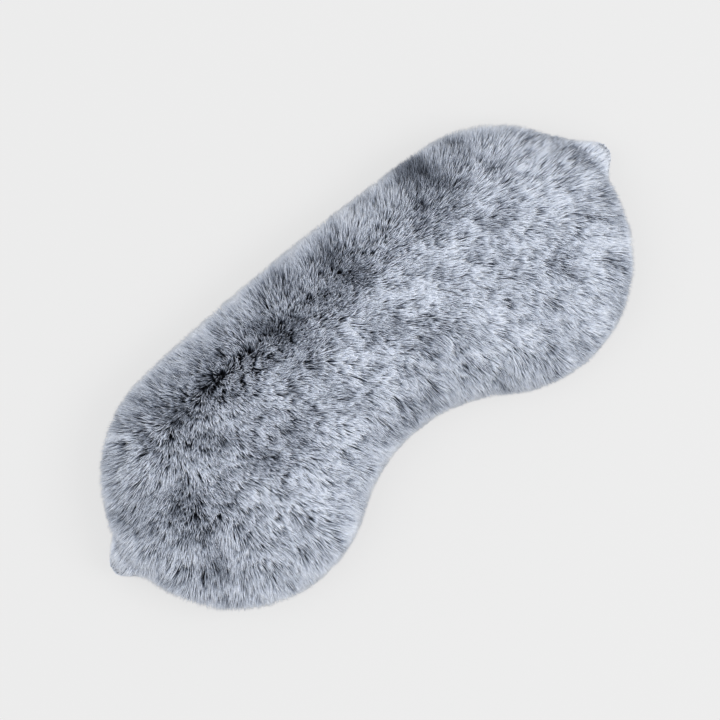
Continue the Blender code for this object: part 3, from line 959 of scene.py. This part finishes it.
def add_wadding():
    """Fluffy wadding under the fur, thin at its torn edge."""
    rng = np.random.default_rng(SEED + 2)
    x, y = body_grid(WADDING_INSET, 200, 90)
    fluff = 0.5 + summed_noise(x, y, FLUFF_FIELDS, rng)
    high = backing_height(x, y) - BACKING_THICKNESS - WADDING_GAP - WADDING_FLUFF * fluff
    full = smooth_step(edge_distance(x, y, WADDING_INSET), 0, WADDING_EDGE_REACH)
    thickness = between((WADDING_EDGE, WADDING_THICKNESS), full)
    thickness += WADDING_LUMPS * patch_noise(x, y, 2.2 * MM, rng)
    piece = layer("wadding", x, y, high - thickness, high)
    made = speckled_material("wadding_fibre", (0.70, 0.70, 0.68), (0.90, 0.90, 0.88), 1400, 0.95, 0.9)
    add_to_object(piece, made, stands_for=["wadding_layer"])


def chamber_height(x, y):
    """Underside of the pouch's front cloth, raised over its two filled chambers."""
    inward = np.minimum(edge_distance(x, y, CHAMBER_INSET), np.abs(x) - CHAMBER_X)
    share = np.clip(inward / CHAMBER_REACH, 0, 1)
    return INSERT_FRONT_Z + CHAMBER_RISE * np.sin(share * math.pi / 2)


def add_pouch():
    """Cotton pouch: a flat back, and a front that wrinkles over the two chambers."""
    made = cloth_material("plain_cotton", (0.62, 0.60, 0.54), (0.88, 0.87, 0.82), 760, 0.9, bump=0.5)
    rng = np.random.default_rng(SEED + 3)
    x, y = body_grid(INSERT_INSET, 220, 100)
    wrinkle = INSERT_BACK_PUCKER * puckers(x, y, INSERT_INSET, INSERT_BACK_PUCKER_REACH, rng)
    middle = INSERT_BACK_Z + wrinkle
    back = layer("pouch_back", x, y, middle - INSERT_THICKNESS / 2, middle + INSERT_THICKNESS / 2)
    add_to_object(back, made, stands_for=["insert_back_cloth"])

    raised = smooth_step(chamber_height(x, y), INSERT_FRONT_Z, INSERT_FRONT_Z + 0.004)
    wrinkle = INSERT_FRONT_PUCKER * puckers(x, y, INSERT_INSET, INSERT_FRONT_PUCKER_REACH, rng)
    wrinkle += INSERT_WRINKLE * patch_noise(x, y, 9 * MM, rng)
    low = chamber_height(x, y) + wrinkle * raised
    front = layer("pouch_front", x, y, low, low + INSERT_THICKNESS)
    add_to_object(front, made, stands_for=["insert_front_cloth"])


def bead_places(side, rng):
    """Middles of the beads: close-packed layers, as far as the chamber's floor, wall and roof allow."""
    rise = BEAD_PITCH * math.sqrt(2 / 3)
    row = BEAD_PITCH * math.sqrt(3) / 2
    places = []
    for level in range(BEAD_LAYERS):
        i, j = np.meshgrid(np.arange(-40, 40), np.arange(-24, 24), indexing="ij")
        x = side * LOBE_X + BEAD_PITCH * (i + 0.5 * (j % 2) + 0.5 * (level % 2))
        y = LOBE_Y + row * (j + (level % 2) / 3)
        z = np.full(x.shape, FILL_FLOOR_Z + BEAD_RADIUS + level * rise)
        inside = edge_distance(x, y, FILL_INSET) > BEAD_RADIUS
        inside &= side * x > FILL_MIDDLE_X + BEAD_RADIUS
        inside &= z + BEAD_RADIUS < chamber_height(x, y) - FILL_SLACK
        places.append(np.stack([x[inside], y[inside], z[inside]], axis=1))
    places = np.concatenate(places)
    return places + rng.uniform(-BEAD_SCATTER, BEAD_SCATTER, places.shape)


def add_beads():
    """Loose beads of both chambers."""
    work = bmesh.new()
    bmesh.ops.create_icosphere(work, subdivisions=2, radius=1)
    ball = np.array([vert.co[:] for vert in work.verts])
    faces = np.array([[vert.index for vert in face.verts] for face in work.faces])
    work.free()
    made = speckled_material("bead", (0.40, 0.30, 0.17), (0.70, 0.60, 0.43), 420, 0.45, 0.15)
    for name, node, side in (("beads_left", "bead_fill_left", -1), ("beads_right", "bead_fill_right", 1)):
        rng = np.random.default_rng(SEED + 10 + side)
        places = bead_places(side, rng)
        sizes = BEAD_RADIUS * rng.uniform(*BEAD_SIZES, len(places))
        points = places[:, None, :] + ball[None] * sizes[:, None, None]
        triangles = np.arange(len(places))[:, None, None] * len(ball) + faces[None]
        piece = mesh_object(name, points.reshape(-1, 3), triangles.reshape(-1, 3))
        add_to_object(piece, made, stands_for=[node])


def add_label():
    """Blank satin ribbon, folded in half, with both ends in the seam."""
    leaf = LABEL_LENGTH - LABEL_FOLD_RADIUS - LABEL_THICKNESS / 2
    bend = np.linspace(math.pi / 2, -math.pi / 2, 13)
    out = np.linspace(0, leaf, LABEL_STEPS)
    flat = np.ones(LABEL_STEPS)
    run = np.concatenate([out, leaf + LABEL_FOLD_RADIUS * np.cos(bend[1:-1]), out[::-1]])
    lift = LABEL_FOLD_RADIUS * np.concatenate([flat, np.sin(bend[1:-1]), -flat])
    facing = np.concatenate([flat * math.pi / 2, bend[1:-1], -flat * math.pi / 2])
    across = np.linspace(-1, 1, 29)[:, None]
    seam_y = body_edges(np.array([LABEL_X]), LABEL_INSET)[1][0]
    middle_z = LABEL_TOP_Z - LABEL_FOLD_RADIUS - LABEL_THICKNESS / 2
    sides = []
    for offset in (-LABEL_THICKNESS / 2, LABEL_THICKNESS / 2):
        y = seam_y + (run + offset * np.cos(facing))[None, :] + 0 * across
        curl = LABEL_CURL * (run[None, :] / LABEL_LENGTH)**2 * (1 + LABEL_CURL_TWIST * across)
        z = middle_z + (lift + offset * np.sin(facing))[None, :] - curl
        x = LABEL_X + across * LABEL_WIDTH / 2 + 0 * y
        sides.append(np.stack([x, y, z], axis=2))
    piece = shell("care_ribbon", *sides)
    made = cloth_material("label_satin", (0.74, 0.74, 0.72), (0.93, 0.93, 0.91), 1100, 0.4, bump=0.2)
    add_to_object(piece, made, stands_for=["care_label"])


# ---------------------------------------- head strap

def bow_offset(x):
    """How far the strap's middle line stands off the line between the ears."""
    return STRAP_BOW / 2 * (1 + np.cos(math.pi * x / STRAP_END_X))


def strap_grid(x, across, up):
    """Points of the strap, from how far they lie beside and above its middle line."""
    slope = -STRAP_BOW / 2 * math.pi / STRAP_END_X * np.sin(math.pi * x / STRAP_END_X)
    scale = np.hypot(1, slope)
    return np.stack([x[:, None] - (slope / scale)[:, None] * across,
                     EAR_Y + bow_offset(x)[:, None] + across / scale[:, None],
                     STRAP_AXIS_Z + up], axis=2)


def rounded(values, power):
    return np.sign(values) * np.abs(values)**power


def add_elastic():
    """Knitted elastic: ribs along it, and small ridges across it where it shows at the ears."""
    x = eased_stations(-STRAP_END_X, STRAP_END_X, 440)
    turn = np.linspace(0, 2 * math.pi, 56, endpoint=False)[None, :]
    across = ELASTIC_WIDTH / 2 * rounded(np.cos(turn), ELASTIC_CORNERS) + 0 * x[:, None]
    ribs = np.cos(2 * math.pi * ELASTIC_RIBS * across / ELASTIC_WIDTH)
    shown = smooth_step(np.abs(x), SLEEVE_END_X - ELASTIC_SHOWN_REACH, SLEEVE_END_X)[:, None]
    ridges = shown * np.cos(2 * math.pi * x / ELASTIC_RIDGE_PITCH)[:, None] * np.sign(ribs)
    core, rib_depth, ridge_depth = ELASTIC_RIB_DEPTHS
    height = ELASTIC_THICKNESS / 2 * (core + rib_depth * ribs + ridge_depth * ridges)
    piece = rod("elastic", strap_grid(x, across, height * rounded(np.sin(turn), ELASTIC_CORNERS)))
    made = cloth_material("elastic_knit", (0.045, 0.050, 0.060), (0.175, 0.190, 0.220), 1000, 0.7, bump=0.5)
    add_to_object(piece, made, body="strap", stands_for=["strap_elastic"])


def sleeve_half_width(x):
    """Full width in the middle, and no further than its reach past the joint's axis at the ends."""
    widest = SLEEVE_WIDTH / 2
    allowed = SLEEVE_AXIS_REACH + bow_offset(x)
    return widest * allowed / (widest**6 + allowed**6)**(1 / 6)


def add_sleeve():
    """Gathered cloth sleeve: round-crested folds cross it and wander as they go round."""
    rng = np.random.default_rng(SEED + 4)
    x = np.linspace(-SLEEVE_END_X, SLEEVE_END_X, 840)
    turn = np.linspace(0, 2 * math.pi, 36, endpoint=False)[None, :]
    wander = np.zeros((len(x), turn.size))
    for turns_round in (-2, -1, 0, 1, 2, 3):
        for wavelength in FOLD_WAVES:
            phase = 2 * math.pi * x[:, None] / wavelength + turns_round * turn
            wander += rng.uniform(*FOLD_WANDER) * np.sin(phase + rng.uniform(0, 2 * math.pi))
    fold = np.abs(np.sin(math.pi * x[:, None] / FOLD_PITCH + wander))
    drawn = smooth_step(np.abs(x), SLEEVE_END_X - SLEEVE_END_REACH, SLEEVE_END_X)[:, None]
    trough = between((SLEEVE_TROUGH, SLEEVE_END_TROUGH), drawn)
    height = between((trough, SLEEVE_CREST), fold * (1 - SLEEVE_END_FLATTENING * drawn))
    narrowing = FOLD_NARROWING * (1 - fold) * (1 - FOLD_END_LOSS * drawn)
    half_width = sleeve_half_width(x)[:, None] - narrowing
    walls = []
    for inward in (0, SLEEVE_WALL):
        across = (half_width - inward) * np.cos(turn)
        up = (height - inward) * rounded(np.sin(turn), SLEEVE_CORNERS)
        walls.append(strap_grid(x, across, up))
    piece = tube("sleeve", *walls)
    made = cloth_material("sleeve_satin", (0.110, 0.122, 0.150), (0.300, 0.325, 0.375), 820, 0.5,
                          bump=0.25, sheen=0.3)
    add_to_object(piece, made, body="strap", stands_for=["strap_sleeve"])


def dress_threads():
    """The sewing threads keep their modelled shape."""
    made = thread_material()
    for node in ("edge_seam_thread", "closing_thread", "insert_seam_thread", "channel_thread_left",
                 "channel_thread_right", "strap_tack_left", "strap_tack_right"):
        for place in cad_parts[node].material_slots:
            place.material = made


# ---------------------------------------- studio

def add_camera():
    """Straight above the pillow, turned so that its long axis climbs to the right."""
    data = bpy.data.cameras.new("camera")
    data.lens = CAMERA_LENS
    data.sensor_width = 36
    data.clip_start = 0.01
    camera = bpy.data.objects.new("camera", data)
    camera.location = CAMERA_PLACE
    camera.rotation_euler = (0, 0, math.radians(CAMERA_TURN))
    bpy.context.collection.objects.link(camera)
    bpy.context.scene.camera = camera


def add_floor():
    """Pale floor, mostly of its own light, so that it stays even out to the corners."""
    half = FLOOR_HALF_WIDTH
    corners = [(-half, -half, 0), (half, -half, 0), (half, half, 0), (-half, half, 0)]
    floor = mesh_object("floor", corners, [(0, 1, 2), (0, 2, 3)], smooth=False)
    made, nodes, links, shader = new_material("pale_floor", roughness=1.0)
    shader.inputs["Base Color"].default_value = (FLOOR_GREY, FLOOR_GREY, FLOOR_GREY, 1)
    shader.inputs["Specular IOR Level"].default_value = 0
    glow = nodes.new("ShaderNodeEmission")
    glow.inputs["Color"].default_value = (FLOOR_GLOW_GREY, FLOOR_GLOW_GREY, FLOOR_GLOW_GREY, 1)
    mix = nodes.new("ShaderNodeMixShader")
    mix.inputs["Fac"].default_value = FLOOR_GLOW_SHARE
    links.new(shader.outputs["BSDF"], mix.inputs[1])
    links.new(glow.outputs["Emission"], mix.inputs[2])
    links.new(mix.outputs["Shader"], nodes["Material Output"].inputs["Surface"])
    floor.data.materials.append(made)


def add_lights():
    """Even sky, with a soft light on either side."""
    world = bpy.data.worlds.new("studio")
    world.use_nodes = True
    sky = world.node_tree.nodes["Background"]
    sky.inputs["Color"].default_value = (SKY_GREY, SKY_GREY, SKY_GREY, 1)
    sky.inputs["Strength"].default_value = 1.0
    bpy.context.scene.world = world
    for name, place, size, power in LIGHTS:
        data = bpy.data.lights.new(name, "AREA")
        data.size = size
        data.energy = power
        light = bpy.data.objects.new(name, data)
        light.location = place
        aim = np.array(LIGHT_AIM) - np.array(place)
        light.rotation_euler = (math.acos(-aim[2] / np.linalg.norm(aim)), 0,
                                math.atan2(aim[1], aim[0]) - math.pi / 2)
        bpy.context.collection.objects.link(light)
    bpy.context.scene.view_settings.view_transform = "Standard"


def build():
    add_camera()
    add_floor()
    add_lights()
    add_back_cloth()
    add_wadding()
    add_beads()
    add_pouch()
    add_label()
    add_elastic()
    add_sleeve()
    dress_threads()
    backing = add_backing()
    add_pile(backing)


build()
